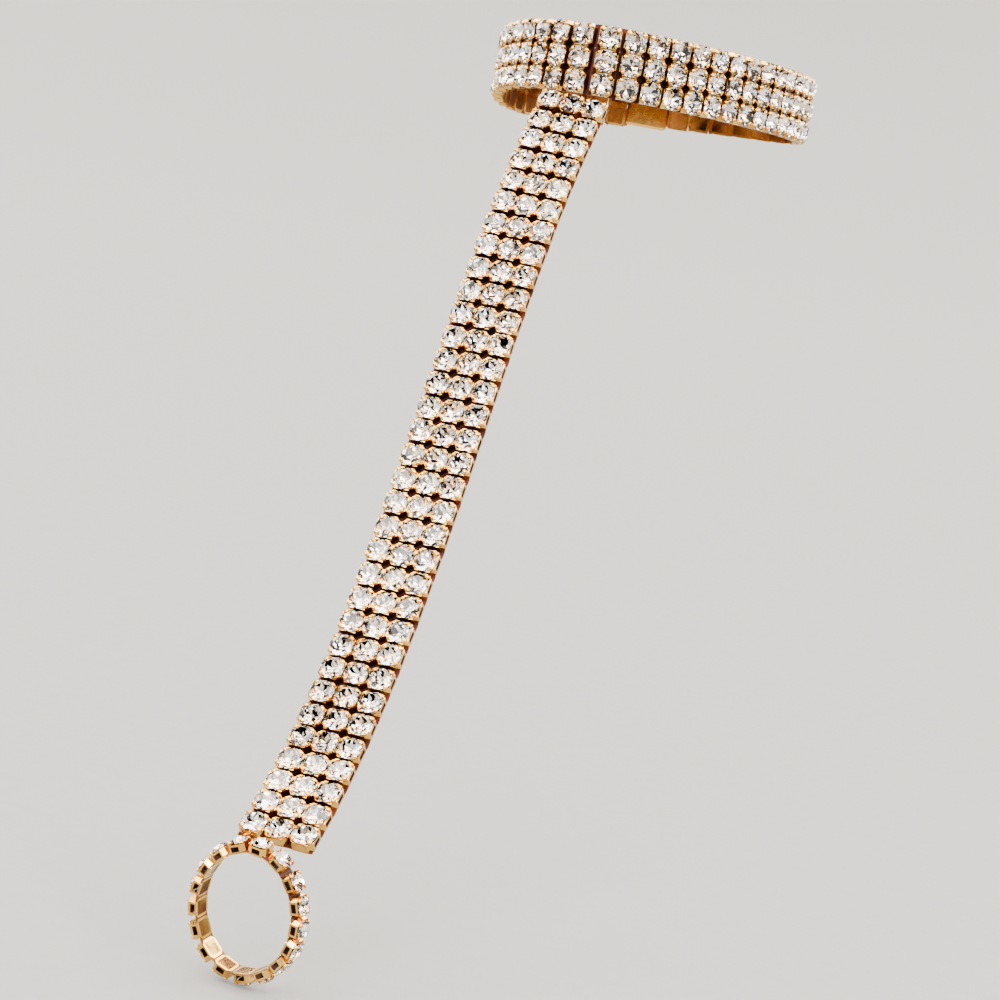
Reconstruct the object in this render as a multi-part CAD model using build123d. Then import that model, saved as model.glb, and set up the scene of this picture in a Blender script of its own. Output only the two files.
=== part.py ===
from build123d import *
import math
import os

# A jewelled anklet, the strap that hangs from its front, and the toe loop at the strap's end, in worn shape.
# Millimetres. +Z is up, -Y is to the front and +X to the outer side. This is the one of the left side.
# The origin is the middle of the anklet.
os.makedirs("parts", exist_ok=True)

# Cups and stones of the anklet and the strap
STONE_WIDTH = 3.9
CROWN_HEIGHT = 0.75
PAVILION_DEPTH = 1.45
TABLE_SHARE = 0.58
GIRDLE_HEIGHT = 2.0
CUP_WIDTH = 4.24
CUP_PITCH_ACROSS = 4.4
CUPS_ACROSS = 3
WALL = 0.2
BASE = 0.35
STONE_GAP = 0.17

# The anklet: a closed row of bars, round in outline but for a flat outer side and two softer corners
ANKLET_BARS = 43
ANKLET_PITCH = 4.5
ANKLET_FLAT_SIDE = -10.0
ANKLET_OVAL = 0.40
ANKLET_TRIANGLE = 0.47
ANKLET_FIRST_BAR = -84.4
ANKLET_WOBBLE = 0.5
WOBBLE_STEP = 2.4

# The anklet has slipped down on its inner side, where the bars stand lower and lower
ANKLET_DIP = 4.0
ANKLET_DIP_TURN = 172.0
ANKLET_DIP_SHARPNESS = 4

# The clasp takes the place of two bars at the back
CLASP_FIRST_BAR = 24
CLASP_BARS = 2
CLASP_THICKNESS = 2.0
CLASP_EDGE = 0.5

# The strap: its lean forward from straight down, and how far it veers to the outer side, at three places
STRAP_BARS = 33
STRAP_PITCH = 4.8
STRAP_START = Vector(2.8, -35.8, -10.0)
STRAP_LEAN = (37.0, 29.0, 56.0)
STRAP_VEER = (7.0, 14.0, 12.0)
STRAP_FACING = 12.5
STRAP_WOBBLE = 1.2

# The toe loop: a single row of smaller cups on an oval, round an axis that runs forward and a little down
TOE_CUPS = 17
TOE_PITCH = 3.55
TOE_CENTRE = Vector(20.0, -123.5, -147.6)
TOE_AXIS_VEER = 4.5
TOE_AXIS_DROP = 9.4
TOE_LONG_SIDE = 15.7
TOE_OVAL = 0.32
TOE_FIRST_CUP = 96.4
TOE_STONE_WIDTH = 3.1
TOE_CROWN_HEIGHT = 0.6
TOE_PAVILION_DEPTH = 1.0
TOE_GIRDLE_HEIGHT = 1.7
TOE_CUP_WIDTH = 3.35
TOE_WINDOW_WIDTH = 2.0
TOE_WINDOW_HEIGHT = 0.75

# Links between bars lie inside the thickness of the cups' floors
LINK_WIDTH = 1.2
LINK_THICKNESS = 0.18
LINK_GRIP = 0.4
JOINT_GAP = 0.15

FACETS = 8
HALVINGS = 40


def faceted_solid(outlines):
    """A closed solid from its flat faces, each given by its corners."""
    faces = [Face(Wire.make_polygon(corners)) for corners in outlines]
    return Solid(Shell(faces))


def cut_stone(width, girdle_height, crown_height, pavilion_depth):
    """A stone with a table, eight crown facets and eight pavilion facets. Its cup's floor is at z = 0."""
    girdle_radius = width / 2 / math.cos(math.pi / FACETS)
    corners = [math.radians(360 / FACETS * (corner + 0.5)) for corner in range(FACETS)]

    def ring(radius, height):
        return [(radius * math.cos(turn), radius * math.sin(turn), height) for turn in corners]

    girdle = ring(girdle_radius, girdle_height)
    table = ring(girdle_radius * TABLE_SHARE, girdle_height + crown_height)
    culet = (0, 0, girdle_height - pavilion_depth)
    outlines = [table]
    for corner in range(FACETS):
        after = (corner + 1) % FACETS
        outlines.append([girdle[corner], girdle[after], table[after], table[corner]])
        outlines.append([girdle[after], girdle[corner], culet])
    return faceted_solid(outlines)


def cup_bar(cups, cup_width, pitch, girdle_height):
    """A row of open square cups side by side along Y, with their floors at z = 0."""
    up = (Align.CENTER, Align.CENTER, Align.MIN)
    length = (cups - 1) * pitch + cup_width
    rim = girdle_height - STONE_GAP
    bar = Box(cup_width, length, rim, align=up)
    pocket = Box(cup_width - 2 * WALL, cup_width - 2 * WALL, rim, align=up)
    for cup in range(cups):
        bar -= Pos(0, (cup - (cups - 1) / 2) * pitch, BASE) * pocket
    return bar


def windowed_cup():
    """A single cup of the toe loop, with a window through its front and back walls."""
    cup = cup_bar(1, TOE_CUP_WIDTH, TOE_PITCH, TOE_GIRDLE_HEIGHT)
    window = Box(TOE_WINDOW_WIDTH, 2 * TOE_CUP_WIDTH, TOE_WINDOW_HEIGHT)
    middle = (BASE + TOE_GIRDLE_HEIGHT - STONE_GAP) / 2
    return cup - Pos(0, 0, middle) * window


def seat(place, along, outward):
    """The plane that a bar or cup stands on: X runs along the chain, and Z the way that the stones face."""
    return Plane(origin=place, x_dir=along, z_dir=outward)


def loop_places(count, pitch, first, oval, triangle, flat_side):
    """Evenly spaced places on a closed curve, each with the direction that the curve faces there.

    The curve's radius is largest where it faces the flat side, by the oval's and the triangle's shares."""
    radius = count * pitch / (2 * math.pi)
    places = []
    for index in range(count):
        wanted = math.radians(first - flat_side) + 2 * math.pi * index / count
        low, high = wanted - 1, wanted + 1
        for _ in range(HALVINGS):
            facing = (low + high) / 2
            reached = facing + oval / 2 * math.sin(2 * facing) + triangle / 3 * math.sin(3 * facing)
            low, high = (facing, high) if reached < wanted else (low, facing)
        reach = radius * (1 - oval / 3 * math.cos(2 * facing) - triangle / 8 * math.cos(3 * facing))
        shift = radius * (2 * oval / 3 * math.sin(2 * facing) + 3 * triangle / 8 * math.sin(3 * facing))
        turn = facing + math.radians(flat_side)
        outward = (math.cos(turn), math.sin(turn))
        along = (-math.sin(turn), math.cos(turn))
        place = [reach * outward[axis] + shift * along[axis] for axis in (0, 1)]
        places.append((place, along, outward))
    return places


def wobbled(plane, index, degrees):
    """The same seat, turned a little about its outward direction, as links of a loose chain lie."""
    return plane.rotated((0, 0, degrees * math.sin(WOBBLE_STEP * index)))


def anklet_dip(place):
    """How far the bar at a place of the anklet hangs below the highest ones."""
    turn = math.atan2(place[1], place[0]) - math.radians(ANKLET_DIP_TURN)
    return ANKLET_DIP * ((1 + math.cos(turn)) / 2) ** ANKLET_DIP_SHARPNESS


def anklet_seats():
    """One seat for each place of the anklet, those that the clasp takes too."""
    places = loop_places(
        ANKLET_BARS, ANKLET_PITCH, ANKLET_FIRST_BAR, ANKLET_OVAL, ANKLET_TRIANGLE, ANKLET_FLAT_SIDE
    )
    seats = []
    for index, (place, along, outward) in enumerate(places):
        plane = seat((*place, -anklet_dip(place)), (*along, 0), (*outward, 0))
        seats.append(wobbled(plane, index, ANKLET_WOBBLE))
    return seats


def between(values, share):
    """A value on the parabola through three values, at 0, 0.5 and 1."""
    start, middle, end = values
    return (
        start * (1 - share) * (1 - 2 * share)
        + middle * 4 * share * (1 - share)
        + end * share * (2 * share - 1)
    )


def strap_heading(share):
    """The strap's direction towards the toe loop, at a share of its length."""
    lean = math.radians(between(STRAP_LEAN, share))
    veer = math.radians(between(STRAP_VEER, share))
    return Vector(
        math.sin(lean) * math.sin(veer), -math.sin(lean) * math.cos(veer), -math.cos(lean)
    )


def strap_seats():
    """One seat for each bar of the strap, from the anklet down to the toe loop."""
    facing = math.radians(STRAP_FACING)
    front = Vector(math.sin(facing), -math.cos(facing), 0)
    steps = STRAP_BARS - 1
    place = STRAP_START
    seats = []
    for index in range(STRAP_BARS):
        heading = strap_heading(index / steps)
        across = heading.cross(front).normalized()
        plane = seat(place, heading, across.cross(heading))
        seats.append(wobbled(plane, index, STRAP_WOBBLE))
        place = place + strap_heading((index + 0.5) / steps) * STRAP_PITCH
    return seats


def toe_seats():
    """One seat for each cup of the toe loop."""
    veer, drop = math.radians(TOE_AXIS_VEER), math.radians(TOE_AXIS_DROP)
    axis = Vector(
        math.sin(veer) * math.cos(drop), -math.cos(veer) * math.cos(drop), -math.sin(drop)
    )
    side = axis.cross(Vector(0, 0, 1)).normalized()
    top = side.cross(axis)
    places = loop_places(TOE_CUPS, TOE_PITCH, TOE_FIRST_CUP, TOE_OVAL, 0, TOE_LONG_SIDE)
    seats = []
    for place, along, outward in places:
        point = TOE_CENTRE + side * place[0] + top * place[1]
        run = side * along[0] + top * along[1]
        out = side * outward[0] + top * outward[1]
        seats.append(seat(point, run, out))
    return seats


def link(start, end, outward):
    """A flat link between two points, in the middle of the floors' thickness."""
    run = end - start
    plane = Plane(origin=(start + end) * 0.5, x_dir=run, z_dir=outward)
    return plane * Box(run.length, LINK_WIDTH, LINK_THICKNESS)


def link_between(first, second, cup_width):
    """The link that joins two neighbouring bars, or two cups."""
    reach = cup_width / 2 - LINK_GRIP
    start = first.from_local_coords(Vector(reach, 0, BASE / 2))
    end = second.from_local_coords(Vector(-reach, 0, BASE / 2))
    return link(start, end, first.z_dir + second.z_dir)


def joined(pieces):
    """Soldered metal: the pieces as one solid."""
    return pieces[0].fuse(*pieces[1:])


def clasp(first, last):
    """A plain clasp with softened edges, upright in the place of the bars between two seats."""
    start = first.from_local_coords(Vector(CUP_WIDTH / 2 + JOINT_GAP, 0, 0))
    end = last.from_local_coords(Vector(-CUP_WIDTH / 2 - JOINT_GAP, 0, 0))
    run = Vector(end.X - start.X, end.Y - start.Y, 0)
    height = (CUPS_ACROSS - 1) * CUP_PITCH_ACROSS + CUP_WIDTH
    block = Box(run.length, height, CLASP_THICKNESS, align=(Align.CENTER, Align.CENTER, Align.MIN))
    block = chamfer(block.edges(), CLASP_EDGE)
    return Plane(origin=(start + end) * 0.5, x_dir=run, z_dir=first.z_dir + last.z_dir) * block


def write_node(name, solids):
    """One file for each node."""
    node = solids[0] if len(solids) == 1 else Compound(children=solids)
    export_step(node, f"parts/{name}.step")


def stones_on(seats, stone, rows, pitch):
    """A stone for each cup of each bar."""
    placed = []
    for plane in seats:
        for row in range(rows):
            across = (row - (rows - 1) / 2) * pitch
            placed.append((plane * Pos(0, across, 0)) * stone)
    return placed


def build():
    bar = cup_bar(CUPS_ACROSS, CUP_WIDTH, CUP_PITCH_ACROSS, GIRDLE_HEIGHT)
    stone = cut_stone(STONE_WIDTH, GIRDLE_HEIGHT, CROWN_HEIGHT, PAVILION_DEPTH)

    anklet = anklet_seats()
    after_clasp = CLASP_FIRST_BAR + CLASP_BARS
    worn = anklet[after_clasp:] + anklet[:CLASP_FIRST_BAR]
    metal = [plane * bar for plane in worn]
    for first, second in zip(worn, worn[1:]):
        metal.append(link_between(first, second, CUP_WIDTH))
    write_node("ankle_band", [joined(metal)])
    write_node("ankle_stones", stones_on(worn, stone, CUPS_ACROSS, CUP_PITCH_ACROSS))
    write_node("ankle_clasp", [clasp(worn[-1], worn[0])])

    strap = strap_seats()
    metal = [plane * bar for plane in strap]
    for first, second in zip(strap, strap[1:]):
        metal.append(link_between(first, second, CUP_WIDTH))
    write_node("instep_strap", [joined(metal)])
    write_node("instep_stones", stones_on(strap, stone, CUPS_ACROSS, CUP_PITCH_ACROSS))

    toe = toe_seats()
    cup = windowed_cup()
    metal = [plane * cup for plane in toe]
    for first, second in zip(toe, toe[1:] + toe[:1]):
        metal.append(link_between(first, second, TOE_CUP_WIDTH))
    write_node("toe_ring", [joined(metal)])
    toe_stone = cut_stone(TOE_STONE_WIDTH, TOE_GIRDLE_HEIGHT, TOE_CROWN_HEIGHT, TOE_PAVILION_DEPTH)
    write_node("toe_stones", stones_on(toe, toe_stone, 1, TOE_PITCH))


build()
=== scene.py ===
import math
import random
import bmesh
import bpy
from mathutils import Matrix, Vector


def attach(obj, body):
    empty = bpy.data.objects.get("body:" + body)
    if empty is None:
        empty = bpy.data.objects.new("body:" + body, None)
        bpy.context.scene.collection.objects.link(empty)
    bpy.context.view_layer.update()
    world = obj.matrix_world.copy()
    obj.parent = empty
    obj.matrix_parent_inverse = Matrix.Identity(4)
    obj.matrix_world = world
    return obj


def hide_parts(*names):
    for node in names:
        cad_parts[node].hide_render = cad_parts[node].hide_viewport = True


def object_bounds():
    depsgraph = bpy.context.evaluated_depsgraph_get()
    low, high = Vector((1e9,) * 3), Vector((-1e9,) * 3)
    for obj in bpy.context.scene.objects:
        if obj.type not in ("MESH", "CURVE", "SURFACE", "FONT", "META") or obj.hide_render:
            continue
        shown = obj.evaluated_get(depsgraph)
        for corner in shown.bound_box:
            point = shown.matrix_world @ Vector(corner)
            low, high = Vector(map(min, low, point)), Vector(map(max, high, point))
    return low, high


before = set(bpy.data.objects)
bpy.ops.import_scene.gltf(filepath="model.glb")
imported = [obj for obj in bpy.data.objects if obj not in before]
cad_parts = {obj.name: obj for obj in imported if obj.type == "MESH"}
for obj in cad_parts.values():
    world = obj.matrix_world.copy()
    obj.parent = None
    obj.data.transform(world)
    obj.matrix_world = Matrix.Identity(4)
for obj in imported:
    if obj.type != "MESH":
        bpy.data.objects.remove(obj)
cad_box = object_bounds()

# The stamped cups and cut stones of an anklet, the strap that hangs from its front, and the toe loop.
# Shapes are made in millimetres and turned to metres when they are joined.

# The part's own sizes, in millimetres and degrees, as its source has them
MM = 0.001
CROWN_HEIGHT = 0.75
PAVILION_DEPTH = 1.45
GIRDLE_HEIGHT = 2.0
CUP_WIDTH = 4.24
CUP_PITCH_ACROSS = 4.4
CUPS_ACROSS = 3
STONE_GAP = 0.17
ANKLET_BARS = 43
ANKLET_PITCH = 4.5
ANKLET_FLAT_SIDE = -10.0
ANKLET_OVAL = 0.40
ANKLET_TRIANGLE = 0.47
ANKLET_FIRST_BAR = -84.4
ANKLET_WOBBLE = 0.5
WOBBLE_STEP = 2.4
ANKLET_DIP = 4.0
ANKLET_DIP_TURN = 172.0
ANKLET_DIP_SHARPNESS = 4
CLASP_FIRST_BAR = 24
CLASP_BARS = 2
STRAP_BARS = 33
STRAP_PITCH = 4.8
STRAP_START = Vector((2.8, -35.8, -10.0))
STRAP_LEAN = (37.0, 29.0, 56.0)
STRAP_VEER = (7.0, 14.0, 12.0)
STRAP_FACING = 12.5
STRAP_WOBBLE = 1.2
TOE_CUPS = 17
TOE_PITCH = 3.55
TOE_CENTRE = Vector((20.0, -123.5, -147.6))
TOE_AXIS_VEER = 4.5
TOE_AXIS_DROP = 9.4
TOE_LONG_SIDE = 15.7
TOE_OVAL = 0.32
TOE_FIRST_CUP = 96.4
TOE_CROWN_HEIGHT = 0.6
TOE_PAVILION_DEPTH = 1.0
TOE_GIRDLE_HEIGHT = 1.7
HALVINGS = 40

# Finer sizes of the settings and stones, which only the looks need: millimetres, degrees, and shares
# of a cup's or a stone's width
STONE_ROUND = 4.3
TOE_STONE_ROUND = 3.3
TOE_CUP_ROUND = 3.3
PLATE = 0.3
PAD = 0.1
PAD_WIDTH_SHARE = 0.78
SHEET = 0.2
CORNER_SHARE = 0.17
WINDOW_FRAME_SHARE = 0.1
OUTER_WALL_SHARE = 0.35
CLAW_WIDTH_SHARE = 0.2
CLAW_LENGTH_SHARE = 0.19
CLAW_THICKNESS_SHARE = 0.07
CLAW_REACH_SHARE = 0.085
CLAW_RISE = 0.14
CLAW_SLOPE = 33.0
CLAW_TAPER = 0.55
LINK_WIDTH = 4.36
LINK_THICKNESS = 0.16
PLATE_THICKNESS = PLATE - PAD / 2
PLATE_MIDDLE = (PLATE + PAD / 2) / 2
PLATE_EDGE = PLATE / 5
PAD_EDGE = PAD / 3
LINK_EDGE = LINK_THICKNESS / 4
LINK_GRIP = 0.3
CLASP_LINK_HEIGHT = 0.7
CLASP_LINK_REACH = 0.9
CLASP_LINK_WIDTH = 3.6
FACETS = 8
TABLE_SHARE = 0.52
STAR_SHARE = 0.60
STAR_SLOPE = 18.0
UPPER_GIRDLE_STEEPER = 7.0
LOWER_GIRDLE_STEEPER = 6.0
GIRDLE_SHARE = 0.975
TIP_SHARE = 0.5
TIP_FLATTER = 6.0
SLIVER = 0.001
WELD = 0.002

# How squarely a face looks in a direction, from 0 to 1, to count as flat, leaning or under a stone
FLAT = 0.9
LEANING = 0.5
UNDERSIDE = 0.2

# The order of the materials on the metal and on the stones
# Painted shade: the second metal stands in for the shade in recesses, and the third's darker colour for
# the shade at the back
PLATED, PAINTED_SHADE, SATIN_AND_SHADE = 0, 1, 2
GLASS, FOIL = 0, 1

# Patterns, in millimetres: the metal's drift of colour and depth of rubbing, the foil's haze, and the
# paper's grain, drawn coarser than it is so that it shows
COLOUR_DRIFT = 6.0
COLOUR_STOPS = (0.35, 0.65)
RUB_STRENGTH = 0.06
RUB_DEPTH = 0.05
FOIL_HAZE = 2.0
PAPER_GRAIN = 3.0

# The studio's floor, in metres: the radius and height of each ring of the sweep
FLOOR_DROP = 0.0005
SWEEP = (
    (2.0, 0.0), (3.0, 0.02), (4.0, 0.08), (5.0, 0.19), (6.0, 0.36), (7.0, 0.60), (8.0, 0.92), (9.0, 1.34),
    (10.0, 1.9),
)
SWEEP_SIDES = 64

# The studio's air: even light round its edge, and overhead rings of bright panels in the dark
PANELS_ROUND = 5.0
PANELS_UP = 19.0
AIR_EDGE = 0.9
AIR_DARK = 0.01
AIR_BRIGHT = 17.0
PANEL_EDGES = (-0.12, 0.0)
PANELS_START = (0.24, 0.32)

# The soft boxes: name, azimuth, elevation, distance and size in metres, and power in watts
LAMPS = (
    ("key_box", 10, 42, 0.9, (0.5, 0.35), 12.0),
    ("side_box", 75, 35, 0.9, (0.25, 0.6), 8.0),
)
LAMP_AIM = Vector((0.01, -0.06, -0.08))

# The camera looks a little down from the front and the outer side, rolled as the photograph is
CAMERA_AZIMUTH = 29.26
CAMERA_ELEVATION = 6.8
CAMERA_ROLL = 10.43
CAMERA_DISTANCE = 491.2
CAMERA_RIGHT = -30.87
CAMERA_UP = -84.16
CAMERA_LENS = 88.0
SENSOR = 36.0


def loop_places(count, pitch, first, oval, triangle, flat_side):
    """Evenly spaced places on the closed curve of the part's source, with the direction faced at each."""
    radius = count * pitch / (2 * math.pi)
    places = []
    for index in range(count):
        wanted = math.radians(first - flat_side) + 2 * math.pi * index / count
        low, high = wanted - 1, wanted + 1
        for _ in range(HALVINGS):
            facing = (low + high) / 2
            reached = facing + oval / 2 * math.sin(2 * facing) + triangle / 3 * math.sin(3 * facing)
            low, high = (facing, high) if reached < wanted else (low, facing)
        reach = radius * (1 - oval / 3 * math.cos(2 * facing) - triangle / 8 * math.cos(3 * facing))
        shift = radius * (2 * oval / 3 * math.sin(2 * facing) + 3 * triangle / 8 * math.sin(3 * facing))
        turn = facing + math.radians(flat_side)
        outward = Vector((math.cos(turn), math.sin(turn)))
        along = Vector((-math.sin(turn), math.cos(turn)))
        places.append((reach * outward + shift * along, along, outward))
    return places


def seat(place, along, outward, wobble=0.0):
    """The place of a bar or cup: X runs along the chain, and Z the way that the stones face."""
    across = outward.cross(along)
    turned = Matrix((along, across, outward)).transposed().to_4x4()
    return Matrix.Translation(place) @ turned @ Matrix.Rotation(math.radians(wobble), 4, "Z")


def anklet_dip(place):
    """How far the bar at a place of the anklet hangs below the highest ones."""
    turn = math.atan2(place.y, place.x) - math.radians(ANKLET_DIP_TURN)
    return ANKLET_DIP * ((1 + math.cos(turn)) / 2) ** ANKLET_DIP_SHARPNESS


def anklet_seats():
    """One seat for each bar, from one side of the clasp round to the other, without the clasp's two."""
    places = loop_places(
        ANKLET_BARS, ANKLET_PITCH, ANKLET_FIRST_BAR, ANKLET_OVAL, ANKLET_TRIANGLE, ANKLET_FLAT_SIDE
    )
    seats = []
    for index, (place, along, outward) in enumerate(places):
        wobble = ANKLET_WOBBLE * math.sin(WOBBLE_STEP * index)
        hung = Vector((place.x, place.y, -anklet_dip(place)))
        seats.append(seat(hung, along.to_3d(), outward.to_3d(), wobble))
    after_clasp = CLASP_FIRST_BAR + CLASP_BARS
    return seats[after_clasp:] + seats[:CLASP_FIRST_BAR]


def between(values, share):
    """A value on the parabola through three values, at 0, 0.5 and 1."""
    start, middle, end = values
    return (
        start * (1 - share) * (1 - 2 * share)
        + middle * 4 * share * (1 - share)
        + end * share * (2 * share - 1)
    )


def strap_heading(share):
    """The strap's direction towards the toe loop, at a share of its length."""
    lean = math.radians(between(STRAP_LEAN, share))
    veer = math.radians(between(STRAP_VEER, share))
    return Vector(
        (math.sin(lean) * math.sin(veer), -math.sin(lean) * math.cos(veer), -math.cos(lean))
    )


def strap_seats():
    """One seat for each bar of the strap, from the anklet down to the toe loop."""
    facing = math.radians(STRAP_FACING)
    front = Vector((math.sin(facing), -math.cos(facing), 0))
    steps = STRAP_BARS - 1
    place = STRAP_START.copy()
    seats = []
    for index in range(STRAP_BARS):
        heading = strap_heading(index / steps)
        across = heading.cross(front).normalized()
        wobble = STRAP_WOBBLE * math.sin(WOBBLE_STEP * index)
        seats.append(seat(place, heading, across.cross(heading), wobble))
        place = place + strap_heading((index + 0.5) / steps) * STRAP_PITCH
    return seats


def toe_seats():
    """One seat for each cup of the toe loop."""
    veer, drop = math.radians(TOE_AXIS_VEER), math.radians(TOE_AXIS_DROP)
    axis = Vector(
        (math.sin(veer) * math.cos(drop), -math.cos(veer) * math.cos(drop), -math.sin(drop))
    )
    side = axis.cross(Vector((0, 0, 1))).normalized()
    top = side.cross(axis)
    places = loop_places(TOE_CUPS, TOE_PITCH, TOE_FIRST_CUP, TOE_OVAL, 0, TOE_LONG_SIDE)
    seats = []
    for place, along, outward in places:
        point = TOE_CENTRE + side * place.x + top * place.y
        seats.append(seat(point, side * along.x + top * along.y, side * outward.x + top * outward.y))
    return seats


def linear(hex_colour):
    """An sRGB hex colour as the linear colour that a shader takes."""
    channels = [int(hex_colour[start:start + 2], 16) / 255 for start in (1, 3, 5)]
    bent = [c / 12.92 if c <= 0.04045 else ((c + 0.055) / 1.055) ** 2.4 for c in channels]
    return (*bent, 1.0)


def add_node(tree, kind, settings=(), inputs=(), links=()):
    """Adds a node with its settings, its constant inputs and its incoming links."""
    node = tree.nodes.new(kind)
    for name, value in dict(settings).items():
        setattr(node, name, value)
    for name, value in dict(inputs).items():
        node.inputs[name].default_value = value
    for name, socket in dict(links).items():
        tree.links.new(socket, node.inputs[name])
    return node


def new_material(name):
    """An empty material with its shader and output joined."""
    material = bpy.data.materials.new(name)
    material.use_nodes = True
    tree = material.node_tree
    shader = tree.nodes["Principled BSDF"]
    return material, tree, shader


def brass_finish(name, dark, light, gloss, grain, metallic=1.0):
    """Brass whose colour drifts between two tones, and whose gloss drifts in grains of a size in mm."""
    material, tree, shader = new_material(name)
    place = add_node(tree, "ShaderNodeTexCoord")
    tone = add_node(
        tree, "ShaderNodeTexNoise", inputs={"Scale": 1 / (COLOUR_DRIFT * MM), "Detail": 3.0},
        links={"Vector": place.outputs["Object"]},
    )
    colour = add_node(tree, "ShaderNodeValToRGB", links={"Fac": tone.outputs["Fac"]})
    for element, position, hex_colour in zip(colour.color_ramp.elements, COLOUR_STOPS, (dark, light)):
        element.position = position
        element.color = linear(hex_colour)
    tree.links.new(colour.outputs["Color"], shader.inputs["Base Color"])
    rub = add_node(
        tree, "ShaderNodeTexNoise", inputs={"Scale": 1 / (grain * MM), "Detail": 4.0},
        links={"Vector": place.outputs["Object"]},
    )
    smooth, rough = gloss
    blur = add_node(
        tree, "ShaderNodeMapRange", inputs={"To Min": smooth, "To Max": rough},
        links={"Value": rub.outputs["Fac"]},
    )
    tree.links.new(blur.outputs["Result"], shader.inputs["Roughness"])
    bump = add_node(
        tree, "ShaderNodeBump", inputs={"Strength": RUB_STRENGTH, "Distance": RUB_DEPTH * MM},
        links={"Height": rub.outputs["Fac"]},
    )
    tree.links.new(bump.outputs["Normal"], shader.inputs["Normal"])
    shader.inputs["Metallic"].default_value = metallic
    return material


def plated_brass():
    """Stamped brass plated in warm gold and barrel polished: bright yellow edges and orange depths."""
    return brass_finish("gold_plated_brass", "#C68B33", "#EFC266", (0.07, 0.20), 0.8)


def painted_shade_brass():
    """Brass inside and between the cups, dull, with painted shade: dark red-brown for the shade there."""
    return brass_finish("brass_with_painted_recess_shade", "#1D0906", "#45170E", (0.42, 0.58), 1.5, 0.8)


def satin_brass_with_painted_shade():
    """The stamped backs, plated as the rest but tumbled dull, with painted shade: a soft and darker
    copper gold.
    """
    return brass_finish("satin_back_painted_shade", "#47240F", "#78481D", (0.44, 0.60), 0.5)


def facet_colour(tree, stops):
    """The colour of each facet, by its tone from 0 to 1. Each stop is where a colour begins."""
    tone = add_node(tree, "ShaderNodeAttribute", settings={"attribute_name": "tone"})
    colour = add_node(tree, "ShaderNodeValToRGB", links={"Fac": tone.outputs["Fac"]})
    ramp = colour.color_ramp
    ramp.interpolation = "CONSTANT"
    for element, (position, hex_colour) in zip(ramp.elements, (stops[0], stops[-1])):
        element.position = position
        element.color = linear(hex_colour)
    for position, hex_colour in stops[1:-1]:
        ramp.elements.new(position).color = linear(hex_colour)
    return colour.outputs["Color"]


def cut_glass():
    """Clear crystal, machine cut and polished: sharp bright and dark patches with hardly any colour."""
    material, tree, shader = new_material("cut_crystal_glass")
    # Painted fire: faint warm and cool tints on some facets, for the colours the crystal splits light
    # into
    painted_fire = ((0.0, "#FFE9D8"), (0.2, "#FFF3E0"), (0.45, "#FFFFFF"), (0.85, "#EEF3FF"))
    tree.links.new(facet_colour(tree, painted_fire), shader.inputs["Base Color"])
    shader.inputs["Roughness"].default_value = 0.0
    shader.inputs["IOR"].default_value = 1.56
    shader.inputs["Transmission Weight"].default_value = 1.0
    return material


def mirror_foil():
    """A stone's silvered back: most facets throw the light back out of the crown. The few dark and grey
    facets are painted reflection, and the faint warm and cool tints are painted fire.
    """
    material, tree, shader = new_material("silvered_back_painted_sparkle")
    # Painted reflection: dark and grey facets stand for the dark surroundings a foiled stone sparkles
    # against
    silver_and_painted_dark_facets = (
        (0.0, "#15110E"), (0.16, "#8E7A68"), (0.27, "#FFEAD6"), (0.42, "#FFF6E8"), (0.6, "#FFFFFF"),
        (0.85, "#F0F3FF"),
    )
    place = add_node(tree, "ShaderNodeTexCoord")
    haze = add_node(
        tree, "ShaderNodeTexNoise", inputs={"Scale": 1 / (FOIL_HAZE * MM)},
        links={"Vector": place.outputs["Object"]},
    )
    gloss = add_node(
        tree, "ShaderNodeMapRange", inputs={"To Min": 0.01, "To Max": 0.05},
        links={"Value": haze.outputs["Fac"]},
    )
    tree.links.new(gloss.outputs["Result"], shader.inputs["Roughness"])
    tree.links.new(facet_colour(tree, silver_and_painted_dark_facets), shader.inputs["Base Color"])
    shader.inputs["Metallic"].default_value = 1.0
    return material


def studio_floor():
    """Matt pale paper, as a studio sweep is."""
    material, tree, shader = new_material("pale_studio_paper")
    place = add_node(tree, "ShaderNodeTexCoord")
    grain = add_node(
        tree, "ShaderNodeTexNoise", inputs={"Scale": 1 / (PAPER_GRAIN * MM)},
        links={"Vector": place.outputs["Object"]},
    )
    colour = add_node(tree, "ShaderNodeValToRGB", links={"Fac": grain.outputs["Fac"]})
    colour.color_ramp.elements[0].color = linear("#676664")
    colour.color_ramp.elements[1].color = linear("#6D6C6A")
    tree.links.new(colour.outputs["Color"], shader.inputs["Base Color"])
    shader.inputs["Roughness"].default_value = 0.9
    return material


def cut_off(mesh, direction, distance):
    """Grinds one flat facet: takes away what lies beyond a plane, and closes the cut."""
    everything = mesh.verts[:] + mesh.edges[:] + mesh.faces[:]
    bmesh.ops.bisect_plane(
        mesh, geom=everything, plane_co=direction * distance, plane_no=direction, clear_outer=True
    )
    open_edges = [edge for edge in mesh.edges if edge.is_boundary]
    bmesh.ops.holes_fill(mesh, edges=open_edges, sides=0)


def facet_ring(mesh, radius, height, slope, turn, count, below=False):
    """Grinds facets all round, each leaning in by the slope through a point at a radius and height."""
    tilt = math.radians(slope)
    for index in range(count):
        angle = math.radians(turn + 360 / count * index)
        direction = Vector(
            (math.cos(angle) * math.sin(tilt), math.sin(angle) * math.sin(tilt), math.cos(tilt))
        )
        if below:
            direction.z = -direction.z
        point = Vector((math.cos(angle) * radius, math.sin(angle) * radius, height))
        cut_off(mesh, direction, direction.dot(point))


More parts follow.
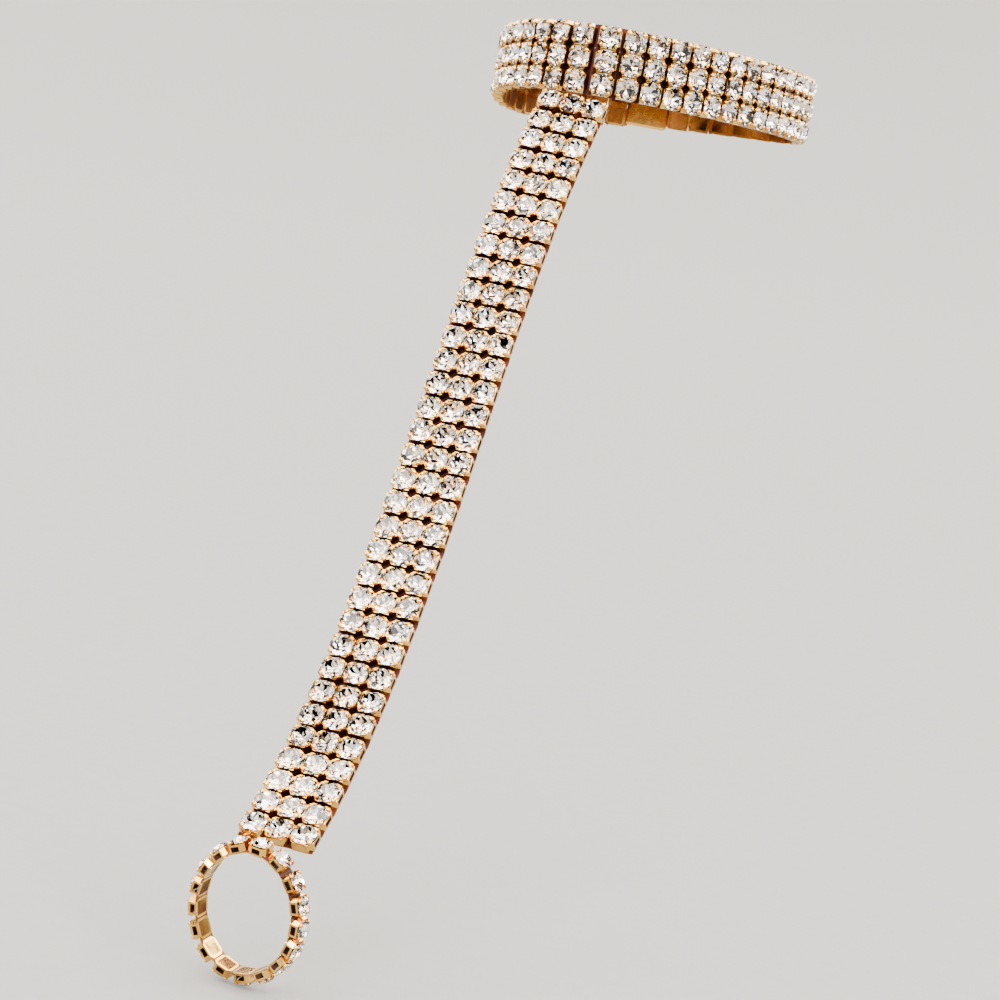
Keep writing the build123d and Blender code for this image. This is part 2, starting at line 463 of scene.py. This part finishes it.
def stone_shape(width, girdle_height, crown_height, pavilion_depth):
    """A round brilliant: a table, and rings of crown and pavilion facets that meet in a sharp girdle."""
    mesh = bmesh.new()
    radius = width / 2
    edge = radius * GIRDLE_SHARE
    table_height = girdle_height + crown_height
    culet = girdle_height - pavilion_depth
    middle = (table_height + culet) / 2
    bmesh.ops.create_cone(
        mesh, cap_ends=True, segments=2 * FACETS, radius1=radius, radius2=radius,
        depth=table_height - culet, matrix=Matrix.Translation((0, 0, middle)),
    )
    crown_slope = math.degrees(math.atan2(crown_height, radius * (1 - TABLE_SHARE)))
    pavilion_slope = math.degrees(math.atan2(pavilion_depth, radius))
    steep_crown = crown_slope + UPPER_GIRDLE_STEEPER
    steep_pavilion = pavilion_slope + LOWER_GIRDLE_STEEPER
    facet_ring(mesh, radius, girdle_height, crown_slope, 0, FACETS)
    facet_ring(mesh, radius * STAR_SHARE, table_height, STAR_SLOPE, 180 / FACETS, FACETS)
    facet_ring(mesh, edge, girdle_height, steep_crown, 90 / FACETS, 2 * FACETS)
    facet_ring(mesh, radius, girdle_height, pavilion_slope, 0, FACETS, below=True)
    facet_ring(mesh, edge, girdle_height, steep_pavilion, 90 / FACETS, 2 * FACETS, below=True)
    tip_height = girdle_height - pavilion_depth * (1 - TIP_SHARE)
    tip_slope = pavilion_slope - TIP_FLATTER
    facet_ring(mesh, radius * TIP_SHARE, tip_height, tip_slope, 180 / FACETS, FACETS, below=True)
    bmesh.ops.dissolve_degenerate(mesh, dist=SLIVER, edges=mesh.edges[:])
    bmesh.ops.remove_doubles(mesh, verts=mesh.verts[:], dist=WELD)
    bmesh.ops.recalc_face_normals(mesh, faces=mesh.faces[:])
    for face in mesh.faces:
        face.material_index = FOIL if face.normal.z < -UNDERSIDE else GLASS
    return mesh


def add_claw(mesh, turn, width, girdle_height):
    """Adds the claw at a cup's corner: a slip of metal that narrows as it lies over the stone's edge."""
    verts = bmesh.ops.create_cube(mesh, size=1.0)["verts"]
    inner = [vert for vert in verts if vert.co.x < 0]
    bmesh.ops.scale(mesh, verts=inner, vec=(1, CLAW_TAPER, 1))
    corner = width / 2 * math.sqrt(2) - width * CORNER_SHARE / math.sqrt(2)
    middle = Matrix.Translation((corner - width * CLAW_REACH_SHARE, 0, girdle_height + CLAW_RISE))
    laid = Matrix.Rotation(turn, 4, "Z") @ middle @ Matrix.Rotation(math.radians(CLAW_SLOPE), 4, "Y")
    size = Vector((CLAW_LENGTH_SHARE, CLAW_WIDTH_SHARE, CLAW_THICKNESS_SHARE)) * width
    bmesh.ops.transform(mesh, matrix=laid @ Matrix.Diagonal((*size, 1)), verts=verts)
    for vert in verts:
        for face in vert.link_faces:
            face.smooth = True


def cup_shape(width, girdle_height, open_sides, painted_shade_walls):
    """A stamped cup: a square box with cut corners and a claw on each, in millimetres.

    Its open sides, -1 or 1 along Y, have a window. Its inside and its floor take the recess metal as
    painted shade, and so do the walls that face a neighbour when it has painted shade walls."""
    mesh = bmesh.new()
    rim = girdle_height - STONE_GAP
    box = Matrix.Translation((0, 0, rim / 2)) @ Matrix.Diagonal((width, width, rim, 1))
    bmesh.ops.create_cube(mesh, size=1.0, matrix=box)
    upright = [edge for edge in mesh.edges if abs(edge.verts[0].co.z - edge.verts[1].co.z) > rim / 2]
    bmesh.ops.bevel(
        mesh, geom=upright, offset=width * CORNER_SHARE, segments=1, profile=0.5, affect="EDGES",
        material=-1,
    )
    top = [face for face in mesh.faces if face.normal.z > FLAT]
    bmesh.ops.delete(mesh, geom=top, context="FACES_ONLY")
    windows = [face for face in mesh.faces if any(face.normal.y * side > FLAT for side in open_sides)]
    if windows:
        frame_width = width * WINDOW_FRAME_SHARE
        bmesh.ops.inset_individual(mesh, faces=windows, thickness=frame_width, use_even_offset=True)
        bmesh.ops.delete(mesh, geom=windows, context="FACES_ONLY")
    bmesh.ops.recalc_face_normals(mesh, faces=mesh.faces[:])
    bmesh.ops.solidify(mesh, geom=mesh.faces[:], thickness=SHEET)
    bmesh.ops.recalc_face_normals(mesh, faces=mesh.faces[:])
    # Painted shade: the cup's inside, its floor and the walls between neighbours take the dark recess
    # metal
    for face in mesh.faces:
        middle = face.calc_center_median()
        flat = Vector((middle.x, middle.y, 0))
        floor = face.normal.z > LEANING and middle.z < rim / 2
        outer = any(middle.y * side > width * OUTER_WALL_SHARE for side in open_sides)
        painted_shade_wall = painted_shade_walls and not outer and abs(face.normal.z) < LEANING
        inside = face.normal.dot(flat) < 0
        face.material_index = PAINTED_SHADE if inside or floor or painted_shade_wall else PLATED
    for corner in range(4):
        add_claw(mesh, math.pi / 4 + math.pi / 2 * corner, width, girdle_height)
    return mesh


def add_slab(mesh, size, middle, softened):
    """Adds a flat block with softened edges."""
    box = Matrix.Translation(middle) @ Matrix.Diagonal((*size, 1))
    added = bmesh.ops.create_cube(mesh, size=1.0, matrix=box)["verts"]
    edges = list(dict.fromkeys(edge for vert in added for edge in vert.link_edges))
    bmesh.ops.bevel(
        mesh, geom=edges, offset=softened, segments=1, profile=0.5, affect="EDGES", material=-1
    )


def painted_shade_top_or_satin_back(face):
    """Which metal a face of a flat piece has: painted shade above, where the cups stand, and a satin back
    with painted shade.
    """
    if face.normal.z > LEANING:
        return PAINTED_SHADE
    return SATIN_AND_SHADE if face.normal.z < -LEANING else PLATED


def plate_shape(rows, pitch, width):
    """The flat base under a bar of cups, with a raised pad under each."""
    mesh = bmesh.new()
    length = (rows - 1) * pitch + width
    add_slab(mesh, (width, length, PLATE_THICKNESS), (0, 0, PLATE_MIDDLE), PLATE_EDGE)
    pad = width * PAD_WIDTH_SHARE
    for row in range(rows):
        across = (row - (rows - 1) / 2) * pitch
        add_slab(mesh, (pad, pad, PAD), (0, across, PAD / 2), PAD_EDGE)
    for face in mesh.faces:
        face.material_index = painted_shade_top_or_satin_back(face)
    return mesh


def link_shape(start, end, outward, width):
    """A flat link between two points."""
    mesh = bmesh.new()
    run = end - start
    along = run.normalized()
    across = outward.cross(along).normalized()
    turned = Matrix((along, across, along.cross(across))).transposed().to_4x4()
    add_slab(mesh, (run.length, width, LINK_THICKNESS), (0, 0, 0), LINK_EDGE)
    for face in mesh.faces:
        face.material_index = painted_shade_top_or_satin_back(face)
    mesh.transform(Matrix.Translation((start + end) / 2) @ turned)
    return mesh


def finished_mesh(shape, name):
    """The shape as mesh data, in millimetres still."""
    data = bpy.data.meshes.new(name)
    shape.to_mesh(data)
    shape.free()
    return data


def joined_copies(name, parts, materials, seed):
    """One object from many placed copies of mesh data.

    Each face gets a tone from 0 to 1, shared out evenly among a copy's faces of one material."""
    whole = bmesh.new()
    tone = whole.faces.layers.float.new("tone")
    dice = random.Random(seed)
    for data, matrix in parts:
        placed = data.copy()
        placed.transform(matrix)
        before = len(whole.faces)
        whole.from_mesh(placed)
        bpy.data.meshes.remove(placed)
        added = list(whole.faces)[before:]
        for index in range(len(materials)):
            alike = [face for face in added if face.material_index == index]
            dice.shuffle(alike)
            for rank, face in enumerate(alike):
                face[tone] = (rank + 0.5) / len(alike)
    bmesh.ops.scale(whole, verts=whole.verts[:], vec=(MM, MM, MM))
    data = finished_mesh(whole, name)
    for material in materials:
        data.materials.append(material)
    piece = bpy.data.objects.new(name, data)
    bpy.context.collection.objects.link(piece)
    return piece


def cups_on(seats, rows, pitch):
    """The place of each cup, bar by bar, with its row counted from the middle one."""
    places = []
    for bar in seats:
        for row in range(rows):
            step = row - (rows - 1) // 2
            places.append((bar @ Matrix.Translation((0, step * pitch, 0)), step))
    return places


def link_parts(seats, closed, rows, pitch, width):
    """The links that run from each cup to the same cup of the next bar."""
    parts = []
    following = seats[1:] + seats[:1] if closed else seats[1:]
    for first, second in zip(seats, following):
        for row in range(rows):
            across = (row - (rows - 1) / 2) * pitch
            reach = width / 2 - LINK_GRIP
            start = first @ Vector((reach, across, PLATE_MIDDLE))
            end = second @ Vector((-reach, across, PLATE_MIDDLE))
            outward = (first.col[2] + second.col[2]).to_3d()
            shape = link_shape(start, end, outward, width * LINK_WIDTH / CUP_WIDTH)
            parts.append((finished_mesh(shape, "link"), Matrix.Identity(4)))
    return parts


def clasp_links(seats, width, pitch):
    """The links that run from the first and last bars of the anklet into the ends of its clasp."""
    parts = []
    for bar, way in ((seats[0], -1), (seats[-1], 1)):
        outward = bar.col[2].to_3d()
        for across in (-pitch, 0, pitch):
            start = bar @ Vector((way * (width / 2 - LINK_GRIP), across, CLASP_LINK_HEIGHT))
            end = bar @ Vector((way * (width / 2 + CLASP_LINK_REACH), across, CLASP_LINK_HEIGHT))
            shape = link_shape(start, end, outward, CLASP_LINK_WIDTH)
            parts.append((finished_mesh(shape, "clasp_link"), Matrix.Identity(4)))
    return parts


def chain_metal(name, seats, rows, pitch, width, girdle_height, closed, clasped, materials, seed):
    """The metal of one chain: its cups, the plates under them and its links."""
    reach = (rows - 1) // 2
    inner_cups, end_cups = {}, {}
    for step in range(-reach, reach + 1):
        open_sides = [side for side in (-1, 1) if abs(step + side) > reach]
        # Inner cups of a chain with several rows get painted shade on the walls that face a neighbour;
        # the end cups don't
        inner_cups[step] = finished_mesh(cup_shape(width, girdle_height, open_sides, rows > 1), "cup")
        end_cups[step] = finished_mesh(cup_shape(width, girdle_height, open_sides, False), "end_cup")
    plate = finished_mesh(plate_shape(rows, pitch, width), "plate")
    parts = [(inner_cups[step], place) for place, step in cups_on(seats[1:-1], rows, pitch)]
    parts += [(end_cups[step], place) for place, step in cups_on([seats[0], seats[-1]], rows, pitch)]
    parts += [(plate, bar) for bar in seats]
    parts += link_parts(seats, closed, rows, pitch, width)
    if clasped:
        parts += clasp_links(seats, width, pitch)
    return joined_copies(name, parts, materials, seed)


def chain_stones(name, seats, rows, pitch, shape, materials, seed):
    """The stones of one chain, each turned its own way in its cup."""
    stone = finished_mesh(shape, "stone")
    dice = random.Random(seed)
    parts = []
    for place, _ in cups_on(seats, rows, pitch):
        turn = Matrix.Rotation(dice.uniform(0, 2 * math.pi), 4, "Z")
        parts.append((stone, place @ turn))
    return joined_copies(name, parts, materials, seed)


def add_soft_box(name, azimuth, elevation, distance, size, power):
    """A rectangular studio lamp that faces the piece, from an azimuth and elevation in degrees."""
    lamp = bpy.data.lights.new(name, "AREA")
    lamp.shape = "RECTANGLE"
    lamp.size, lamp.size_y = size
    lamp.energy = power
    holder = bpy.data.objects.new(name, lamp)
    turn, rise = math.radians(azimuth), math.radians(elevation)
    back = Vector((math.sin(turn) * math.cos(rise), -math.cos(turn) * math.cos(rise), math.sin(rise)))
    holder.location = LAMP_AIM + distance * back
    holder.rotation_euler = (LAMP_AIM - holder.location).to_track_quat("-Z", "Y").to_euler()
    bpy.context.collection.objects.link(holder)


def add_floor(floor_height):
    """A round floor that sweeps up at its edge, as studio paper does."""
    floor_mesh = bmesh.new()
    first = bmesh.ops.create_vert(floor_mesh, co=(0, 0, floor_height))["vert"]
    chain = [first[0]]
    for radius, rise in SWEEP:
        grown = bmesh.ops.extrude_vert_indiv(floor_mesh, verts=chain[-1:])["verts"]
        step = Vector((radius, 0, floor_height + rise)) - grown[0].co
        bmesh.ops.translate(floor_mesh, verts=grown, vec=step)
        chain += grown
    bmesh.ops.spin(
        floor_mesh, geom=floor_mesh.verts[:] + floor_mesh.edges[:], cent=(0, 0, 0), axis=(0, 0, 1),
        angle=2 * math.pi, steps=SWEEP_SIDES, use_merge=True,
    )
    bmesh.ops.remove_doubles(floor_mesh, verts=floor_mesh.verts[:], dist=0.0001)
    bmesh.ops.recalc_face_normals(floor_mesh, faces=floor_mesh.faces[:])
    if floor_mesh.faces[0].normal.z < 0:
        bmesh.ops.reverse_faces(floor_mesh, faces=floor_mesh.faces[:])
    for face in floor_mesh.faces:
        face.smooth = True
    data = finished_mesh(floor_mesh, "studio_floor")
    data.materials.append(studio_floor())
    floor = bpy.data.objects.new("studio_floor", data)
    bpy.context.collection.objects.link(floor)


def add_air():
    """The sky: pale at its edge, and dark overhead with bright panels, for the stones to reflect."""
    world = bpy.data.worlds.new("studio_air")
    bpy.context.scene.world = world
    world.use_nodes = True
    tree = world.node_tree
    place = add_node(tree, "ShaderNodeTexCoord")
    parts = add_node(tree, "ShaderNodeSeparateXYZ", links={"Vector": place.outputs["Generated"]})
    turn = add_node(tree, "ShaderNodeMath", settings={"operation": "ARCTAN2"})
    tree.links.new(parts.outputs["Y"], turn.inputs[0])
    tree.links.new(parts.outputs["X"], turn.inputs[1])
    waves = []
    for source, times in ((turn.outputs["Value"], PANELS_ROUND), (parts.outputs["Z"], PANELS_UP)):
        wave = add_node(tree, "ShaderNodeMath", settings={"operation": "MULTIPLY"})
        wave.inputs[1].default_value = times
        tree.links.new(source, wave.inputs[0])
        crest = add_node(tree, "ShaderNodeMath", settings={"operation": "SINE"})
        tree.links.new(wave.outputs["Value"], crest.inputs[0])
        waves.append(crest.outputs["Value"])
    panel = add_node(tree, "ShaderNodeMath", settings={"operation": "MULTIPLY"})
    tree.links.new(waves[0], panel.inputs[0])
    tree.links.new(waves[1], panel.inputs[1])
    bright = add_node(
        tree, "ShaderNodeMapRange", links={"Value": panel.outputs["Value"]},
        inputs={
            "From Min": PANEL_EDGES[0], "From Max": PANEL_EDGES[1],
            "To Min": AIR_DARK, "To Max": AIR_BRIGHT,
        },
    )
    above = add_node(
        tree, "ShaderNodeMapRange", links={"Value": parts.outputs["Z"]},
        inputs={"From Min": PANELS_START[0], "From Max": PANELS_START[1]},
    )
    light = add_node(
        tree, "ShaderNodeMix", inputs={"A": AIR_EDGE}, links={"Factor": above.outputs["Result"]}
    )
    tree.links.new(bright.outputs["Result"], light.inputs["B"])
    ground = tree.nodes["Background"]
    ground.inputs["Color"].default_value = linear("#FFF9F1")
    tree.links.new(light.outputs["Result"], ground.inputs["Strength"])


def add_camera():
    """The photograph's view, from its azimuth, elevation, roll, distance and shift across the picture."""
    turn, rise = math.radians(CAMERA_AZIMUTH), math.radians(CAMERA_ELEVATION)
    back = Vector((math.sin(turn) * math.cos(rise), -math.cos(turn) * math.cos(rise), math.sin(rise)))
    level_right = (-back).cross(Vector((0, 0, 1))).normalized()
    level_up = level_right.cross(-back)
    roll = math.radians(CAMERA_ROLL)
    right = math.cos(roll) * level_right + math.sin(roll) * level_up
    up = -math.sin(roll) * level_right + math.cos(roll) * level_up
    place = right * CAMERA_RIGHT + up * CAMERA_UP + back * CAMERA_DISTANCE
    data = bpy.data.cameras.new("camera")
    data.lens = CAMERA_LENS
    data.sensor_width = SENSOR
    data.clip_start = 0.01
    camera = bpy.data.objects.new("camera", data)
    camera.matrix_world = Matrix.Translation(place * MM) @ Matrix((right, up, back)).transposed().to_4x4()
    bpy.context.collection.objects.link(camera)
    bpy.context.scene.camera = camera


def build():
    """The camera, the metal and stones of the three chains, the clasp's finish, and the studio."""
    metals = (plated_brass(), painted_shade_brass(), satin_brass_with_painted_shade())
    crystal = (cut_glass(), mirror_foil())
    add_camera()

    anklet, strap, toe = anklet_seats(), strap_seats(), toe_seats()
    stone_sizes = (STONE_ROUND, GIRDLE_HEIGHT, CROWN_HEIGHT, PAVILION_DEPTH)
    toe_sizes = (TOE_STONE_ROUND, TOE_GIRDLE_HEIGHT, TOE_CROWN_HEIGHT, TOE_PAVILION_DEPTH)
    chains = (
        ("ankle", "ankle_band", "ankle_stones", anklet, CUPS_ACROSS, CUP_WIDTH, False, stone_sizes),
        ("instep", "instep_strap", "instep_stones", strap, CUPS_ACROSS, CUP_WIDTH, False, stone_sizes),
        ("toe", "toe_ring", "toe_stones", toe, 1, TOE_CUP_ROUND, True, toe_sizes),
    )
    for seed, (name, band, stones, seats, rows, width, closed, sizes) in enumerate(chains):
        cups = chain_metal(
            f"{name}_cups", seats, rows, CUP_PITCH_ACROSS, width, sizes[1], closed, name == "ankle",
            metals, seed,
        )
        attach(cups, "root")
        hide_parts(band)
        gems = chain_stones(
            f"{name}_gems", seats, rows, CUP_PITCH_ACROSS, stone_shape(*sizes), crystal, seed
        )
        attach(gems, "root")
        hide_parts(stones)

    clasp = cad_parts["ankle_clasp"]
    for slot in clasp.material_slots:
        slot.material = metals[PLATED]
    add_floor(cad_box[0][2] - FLOOR_DROP)
    add_air()
    for lamp in LAMPS:
        add_soft_box(*lamp)


build()
